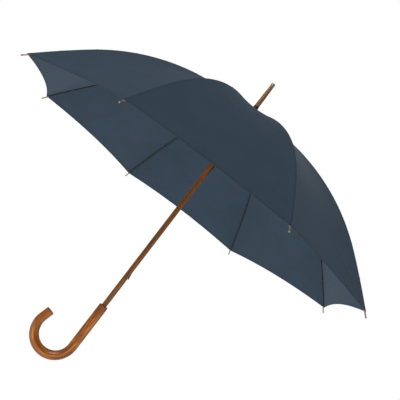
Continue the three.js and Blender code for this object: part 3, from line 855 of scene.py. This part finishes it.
# thread ties that hold the seam to each rib
ties = dict(reaches=(0.090, 0.170, 0.330, 0.425, 0.510), turns=4, steps=18, thread=0.00028,
            wide=0.0019, tall=0.0023, lift=0.0007, pitch=0.0005)


def makeTie(name, index, reach):
    radius, height, slope = (float(v) for v in ribPlace(reach))
    spot = spokeMatrix(index) @ Matrix.Translation((radius, 0, height)) @ Matrix.Rotation(slope, 4, "Y")
    line = []
    for k in range(ties["turns"] * ties["steps"] + 1):
        angle = 2 * math.pi * k / ties["steps"]
        along = (k / ties["steps"] - ties["turns"] / 2) * ties["pitch"]
        line.append(spot @ Vector((along, ties["wide"] * math.cos(angle),
                                   ties["lift"] + ties["tall"] * math.sin(angle))))
    return rodPiece(name, line, [ties["thread"]] * len(line), 6, threadMaterial)


for index in range(rib["count"]):
    number = index + 1
    rodEnd = rib["reach"] - rib["tipLength"] + ribPiece["inTip"]
    reaches = np.concatenate([[ribPiece["footReach"]], np.linspace(0.004, rodEnd, ribPiece["lineSteps"])])
    radius, height, slope = ribPlace(reaches)
    line = [inSpoke(index, float(r), 0, float(h)) for r, h in zip(radius, height)]
    girths = [ribPiece["footGirth"]] + [rib["rod"]] * (len(line) - 1)
    rod = rodPiece(f"rib_rod_{number}", line, girths, ribPiece["sides"], ribEnamel)
    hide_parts(f"rib_end_{number}")
    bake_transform(rod)
    lug = makeLug(f"rib_lug_{number}", index)
    settle(lug, f"rib_{number}", [f"rib_{number}"])
    stay = refined(f"stay_{number}", f"stretcher_{number}", ribEnamel, 0.00025)
    settle(stay, f"stretcher_{number}", [f"stretcher_{number}"])
    for order, reach in enumerate(ties["reaches"]):
        body = f"rib_{number}" if reach < rib["flexReach"] else f"rib_end_{number}"
        settle(makeTie(f"seam_tie_{number}_{order + 1}", index, reach), body)
    # tip: a turned cap with a waist and a round end
    foot, end = ribPlace(rib["reach"] - rib["tipLength"]), ribPlace(rib["reach"])
    direction = Vector((float(end[0] - foot[0]), 0, float(end[1] - foot[1]))).normalized()
    spot = spokeMatrix(index) @ Matrix.Translation((float(foot[0]), 0, float(foot[1]))) \
        @ Vector((0, 0, 1)).rotation_difference(direction).to_matrix().to_4x4()
    outline = [(0.0017, 0.0), (0.0021, 0.0002), (0.0022, 0.0008), (0.0022, 0.0042), (0.0020, 0.0048),
               (0.0018, 0.0052), (0.0018, 0.0092), (0.0017, 0.0120), (0.0016, 0.0145), (0.0017, 0.0158),
               (0.0020, 0.0168), (0.00218, 0.0180), (0.0021, 0.0190), (0.0016, 0.0197), (0.0009, 0.01995),
               (0.0, 0.0200)]
    cap = turnedMesh(f"rib_cap_{number}", [(0.0, 0.0)] + outline, tipMetal, 28, spot, 50)
    settle(cap, f"rib_end_{number}", [f"rib_tip_{number}"])
print("ribs and tips made")


# stick, ferrule, crown

stick = dict(radius=0.0065, foot=0.004, top=0.6854, tenon=0.0030, tenonLength=0.016,
             slotFloor=-0.003, slotWidth=0.0032, slots=((0.139, 0.193), (0.45515, 0.50915)), sides=72)


def makeStick():
    outline = [(0, stick["foot"]), (stick["radius"], stick["foot"])]
    outline += [(stick["radius"], h) for h in np.linspace(0.06, stick["top"] - 0.0004, 22)]
    outline += [(stick["radius"] - 0.0004, stick["top"]), (stick["tenon"], stick["top"]),
                (stick["tenon"], stick["top"] + stick["tenonLength"]),
                (0, stick["top"] + stick["tenonLength"])]
    body = turnedMesh("stick", outline, stickWood, stick["sides"])
    cutters = []
    for low, high in stick["slots"]:
        half = stick["slotWidth"] / 2
        x0, x1 = stick["slotFloor"], stick["radius"] + 0.002
        corners = [(x, y, z) for x in (x0, x1) for y in (-half, half) for z in (low, high)]
        faces = [(0, 1, 3, 2), (4, 6, 7, 5), (0, 4, 5, 1), (2, 3, 7, 6), (0, 2, 6, 4), (1, 5, 7, 3)]
        cutter = meshPiece("slotCutter", corners, faces, stickWood, False)
        cut = body.modifiers.new("slot", "BOOLEAN")
        cut.operation = "DIFFERENCE"
        cut.object = cutter
        cut.solver = "EXACT"
        cutters.append(cutter)
    body = bake(body, "stick")
    for cutter in cutters:
        bpy.data.objects.remove(cutter)
    sharpen(body, 35)
    settle(body, "umbrella_shaft", ["shaft"])


makeStick()

ferrule = dict(foot=0.6857, shoulder=0.7542, footRadius=0.0061, topRadius=0.0052, capRadius=0.0053)
rise = ferrule["foot"] + 0.0008
outline = [(0, ferrule["foot"] + 0.0003), (ferrule["footRadius"] - 0.0008, ferrule["foot"]),
           (ferrule["footRadius"], rise)]
for share in np.linspace(0.05, 1, 14):
    swell = 0.00012 * math.sin(math.pi * share)
    outline.append((ferrule["footRadius"] + (ferrule["topRadius"] - ferrule["footRadius"]) * share + swell,
                    rise + (ferrule["shoulder"] - rise) * share))
outline += [(0.0044, ferrule["shoulder"] + 0.0001), (0, ferrule["shoulder"] + 0.0002)]
stem = turnedMesh("ferrule_stem", outline, ferruleWood, 56)
settle(stem, "umbrella_shaft", ["ferrule"])

brim = ferrule["capRadius"]
outline = [(0, 0.7545), (brim - 0.0008, 0.7545), (brim - 0.0003, 0.7543), (brim, 0.7546), (brim, 0.7556),
           (brim - 0.00015, 0.7559), (brim - 0.00015, 0.7562), (brim, 0.7565), (brim - 0.00008, 0.7600),
           (brim - 0.0002, 0.7641), (brim - 0.0005, 0.7651), (brim - 0.0011, 0.7655), (0.0, 0.7655)]
cap = turnedMesh("ferrule_end_cap", outline, capMetal, 48, None, 45)
settle(cap, "umbrella_shaft", ["ferrule_cap"])

# crown ring, with a sleeve up over the ferrule's foot
outline = [(0.0066, 0.6794), (0.0074, 0.6794), (0.0076, 0.6797), (0.0076, 0.6843), (0.0074, 0.6854),
           (0.0068, 0.6860), (0.0067, 0.6905), (0.0065, 0.6912), (0.0062, 0.6912), (0.0062, 0.6862),
           (0.0066, 0.6854)]
ring = turnedMesh("crown_collar", outline, blackPlastic, 56, None, 50)
settle(ring, "umbrella_shaft", ["crown_ring"])

collars = (
    # name, CAD node, body, finish, slot, edge round
    ("notch_collar", "notch", "umbrella_shaft", blackPlastic, "black_plastic", 0.0003),
    ("runner_collar", "runner", "runner", darkSteel, "dark_steel", 0.0003),
    ("low_spring", "low_catch", "low_catch", darkSteel, "dark_steel", 0.00015),
    ("high_spring", "high_catch", "high_catch", darkSteel, "dark_steel", 0.00015),
)
for name, source, body, material, slotName, bevel in collars:
    settle(refined(name, source, material, bevel), body, [source])
for source in ("notch_wire", "runner_wire", "stop_pin", "strap_snap"):
    for place in nodes[source].material_slots:
        place.material = darkSteel

# rosette: a round of the same cloth over the crown, under the ring
rosette = dict(inner=0.0072, outer=0.0140, rest=0.0006, thickness=0.0004, rows=12, columns=96,
               wave=0.012)     # how far its rim waves in and out


farFromSeam = 0.02     # keeps the seam's shade off a piece that has no rib seam


def makeRosette():
    places = []
    for i in range(rosette["rows"] + 1):
        share = i / rosette["rows"]
        reach = rosette["inner"] + (rosette["outer"] - rosette["inner"]) * share - rib["pivotRadius"]
        for j in range(rosette["columns"] + 1):
            angle = 2 * math.pi * j / rosette["columns"]
            waved = reach * (1 + rosette["wave"] * math.sin(8 * angle) * share)
            radius, height, slope = (float(v) for v in ribPlace(waved))
            climb = panel["crownRise"] * math.exp(-(reach / panel["crownSpread"]) ** 2)
            lift = panel["lift"] + rosette["rest"] + climb
            rim = radius + lift * math.sin(slope)
            places.append((rim * math.cos(angle), rim * math.sin(angle), height + lift * math.cos(slope)))
    n, m = rosette["rows"] + 1, rosette["columns"] + 1
    top = np.array(places).reshape(n, m, 3)
    out = np.zeros_like(top)
    out[..., 2] = 1
    shares = np.linspace(0, 1, n)[:, None] * np.ones((1, m))
    surface = dict(points=top, outward=out, thick=np.full((n, m), rosette["thickness"]),
                   weave=top[..., :2].copy(),
                   # the hem distance falls to nought at the rim, so the cloth's painted hem shade darkens
                   # the rim
                   edges=np.stack([np.full((n, m), farFromSeam), (1 - shares) * 0.0098], -1))
    piece = clothBlock("crown_rosette", surface, list(range(n)), list(range(m)))
    settle(piece, "umbrella_shaft")


makeRosette()
print("stick, ferrule and collars made")


# crook handle

crook = dict(radius=0.0115, top=0.063, bendHeight=-0.0595, bendRadius=0.0515, turn=math.radians(195),
             tail=0.0246, round=0.0022, swell=0.06, slim=0.05)     # thicker in the bend, slimmer at the end


def crookPlace(distance):
    grip = crook["top"] - crook["bendHeight"]
    bend = crook["bendRadius"] * crook["turn"]
    straight = min(distance, grip)
    turn = min(max((distance - grip) / crook["bendRadius"], 0), crook["turn"])
    tail = max(distance - grip - bend, 0)
    away = -crook["bendRadius"] * (1 - math.cos(turn)) - tail * math.sin(crook["turn"])
    height = crook["top"] - straight - crook["bendRadius"] * math.sin(turn) - tail * math.cos(crook["turn"])
    return Vector((away, 0, height))


crookLength = crook["top"] - crook["bendHeight"] + crook["bendRadius"] * crook["turn"] + crook["tail"]
stops = [0.0]
roundings = np.linspace(0, 1, 7)[1:]
stops += [crook["round"] * (1 - math.cos(math.pi / 2 * s)) for s in roundings]
stops += list(np.linspace(0.006, crookLength - 0.006, 110))
stops += [crookLength - crook["round"] * (1 - math.cos(math.pi / 2 * s)) for s in roundings[::-1]]
stops += [crookLength]
girths = []
for stop in stops:
    near = min(stop, crookLength - stop)
    if near < crook["round"]:
        rounded = math.sqrt(max(crook["round"] ** 2 - (crook["round"] - near) ** 2, 0))
        girths.append(crook["radius"] - crook["round"] + rounded)
    else:
        girths.append(crook["radius"])
    bent = (stop - crook["top"] + crook["bendHeight"]) / (crookLength - crook["top"] + crook["bendHeight"])
    bent = min(max(bent, 0), 1)
    girths[-1] *= 1 + crook["swell"] * math.sin(math.pi * bent) ** 2 - crook["slim"] * bent ** 4
handle = rodPiece("crook_handle", [crookPlace(s) for s in stops], girths, 48, crookWood)
settle(handle, "umbrella_shaft", ["handle"])
print("crook made")


# tie strap

strap = dict(rib=3, start=0.405, end=0.545, offset=0.003, width=0.020, rest=0.0018, thickness=0.0009,
             middle=0.475, keep=0.16, stitches=44, stitchLength=0.0022, thread=0.0002)


def makeStrap():
    index = strap["rib"] - 1
    lengthSteps, widthSteps = 48, 12
    rows = []
    for i in range(lengthSteps + 1):
        reach = strap["start"] + (strap["end"] - strap["start"]) * i / lengthSteps
        row = []
        for j in range(widthSteps + 1):
            sideways = strap["offset"] + strap["width"] * j / widthSteps
            share = (reach - startReach) / (panel["reach"] - startReach)
            radius, height, slope = (float(v) for v in ribPlace(reach))
            across = sideways / (2 * math.sin(panelAngle / 2) * radius)
            bulge = 4 * across * (1 - across)
            sag = bulge * (panel["sagMiddle"] * math.sin(math.pi * share) + panel["sagHem"] * share ** 3)
            lift = panel["lift"] + strap["rest"] * 0.55
            edge = radius + lift * math.sin(slope)
            x = edge * ((1 - across) + across * math.cos(panelAngle)) \
                - sag * math.sin(slope) * math.cos(panelAngle / 2) ** 2
            y = edge * across * math.sin(panelAngle) \
                - sag * math.sin(slope) * math.cos(panelAngle / 2) * math.sin(panelAngle / 2)
            z = height + lift * math.cos(slope) - sag * math.cos(slope)
            row.append((x, y, z))
        rows.append(row)
    top = np.array(rows)
    out = np.cross(np.gradient(top, axis=0), np.gradient(top, axis=1))
    out /= np.linalg.norm(out, axis=-1, keepdims=True)
    out *= np.sign(out[..., 2:3])
    n, m = top.shape[:2]
    along, across = np.meshgrid(np.linspace(0, 1, n), np.linspace(0, 1, m), indexing="ij")
    hem = 0.00018 * (np.exp(-((across - 0.06) / 0.05) ** 2) + np.exp(-((across - 0.94) / 0.05) ** 2))
    top = top + out * hem[..., None]
    turn = np.array(spokeMatrix(index).to_3x3())
    surface = dict(points=top @ turn.T, outward=out @ turn.T, thick=np.full((n, m), strap["thickness"]),
                   weave=np.stack([across * strap["width"], along * 0.14], -1),
                   # near both long edges the hem distance is small, so the cloth's painted hem shade darkens
                   # them
                   edges=np.stack([np.full((n, m), farFromSeam),
                                   0.002 + np.minimum(across, 1 - across) * strap["width"]], -1))
    piece = clothBlock("tie_band", surface, list(range(n)), list(range(m)))
    settle(piece, "rib_end_3", ["tie_strap"])
    gather(piece)
    spots, ways, ups = [], [], []
    for column in (1, m - 2):
        path, lifts = surface["points"][:, column], surface["outward"][:, column]
        for k in np.linspace(1, n - 2, strap["stitches"]):
            i = int(k)
            spots.append(path[i] + lifts[i] * 0.00006)
            ways.append(path[i + 1] - path[i - 1])
            ups.append(lifts[i])
    sewn = stitchPiece("tie_band_stitches", spots, ways, ups, strap["stitchLength"], strap["thread"],
                       threadMaterial)
    settle(sewn, "rib_end_3")
    gather(sewn)


makeStrap()
print("tie strap made")


# studio

studio = dict(floorHeight=-4.2, floorRadius=40, floorSides=64, floorGlow=0.82, world=0.28)

paleFloor = newMaterial("paleFloor", **{
    "Base Color": (0.75, 0.75, 0.75, 1), "Roughness": 0.9, "Emission Color": (1, 1, 1, 1),
    "Emission Strength": studio["floorGlow"],
})[0]
floorRim = [(studio["floorRadius"] * math.cos(2 * math.pi * i / studio["floorSides"]),
             studio["floorRadius"] * math.sin(2 * math.pi * i / studio["floorSides"]), studio["floorHeight"])
            for i in range(studio["floorSides"])]
floor = meshPiece("studio_floor", floorRim, [tuple(range(studio["floorSides"]))], paleFloor, False)

world = bpy.data.worlds.new("studioAir")
bpy.context.scene.world = world
world.use_nodes = True
air = world.node_tree
air.nodes.clear()
seen = addNode(air, "ShaderNodeBackground")
seen.inputs["Color"].default_value = (1, 1, 1, 1)
seen.inputs["Strength"].default_value = 1.0
lit = addNode(air, "ShaderNodeBackground")
lit.inputs["Color"].default_value = (1, 1, 1, 1)
lit.inputs["Strength"].default_value = studio["world"]
choice = addNode(air, "ShaderNodeMixShader")
path = addNode(air, "ShaderNodeLightPath")
outlet = addNode(air, "ShaderNodeOutputWorld")
wire(air, path.outputs["Is Camera Ray"], choice.inputs["Fac"])
wire(air, lit.outputs[0], choice.inputs[1])
wire(air, seen.outputs[0], choice.inputs[2])
wire(air, choice.outputs[0], outlet.inputs["Surface"])


def softbox(name, place, aim, size, power, color=(1, 1, 1)):
    light = bpy.data.lights.new(name, "AREA")
    light.shape = "RECTANGLE"
    light.size, light.size_y = size
    light.energy = power
    light.color = color
    made = bpy.data.objects.new(name, light)
    made.location = place
    made.rotation_euler = (Vector(aim) - Vector(place)).to_track_quat("-Z", "Y").to_euler()
    bpy.context.scene.collection.objects.link(made)


softbox("keyBox", (-2.2, -2.4, 2.6), (0, 0, 0.45), (1.8, 1.8), 62)
softbox("fillBox", (2.6, -1.8, 0.4), (0, 0, 0.3), (1.6, 2.2), 12)
softbox("underBox", (-0.6, -1.8, -1.6), (0, 0, 0.6), (1.8, 1.8), 3)
softbox("backBox", (0.8, 2.8, 2.0), (0, 0, 0.5), (2.0, 1.6), 9)

view = dict(place=(0.0363, -1.9395, 0.1413), turn=(99.960, -36.928, -5.829), lens=70.71, sensor=36)
camera = bpy.data.objects.new("camera", bpy.data.cameras.new("camera"))
bpy.context.scene.collection.objects.link(camera)
camera.data.sensor_width = view["sensor"]
camera.data.lens = view["lens"]
camera.location = view["place"]
camera.rotation_euler = tuple(math.radians(a) for a in view["turn"])
camera.data.clip_start, camera.data.clip_end = 0.05, 200
bpy.context.scene.camera = camera
bpy.context.scene.view_settings.view_transform = "Standard"
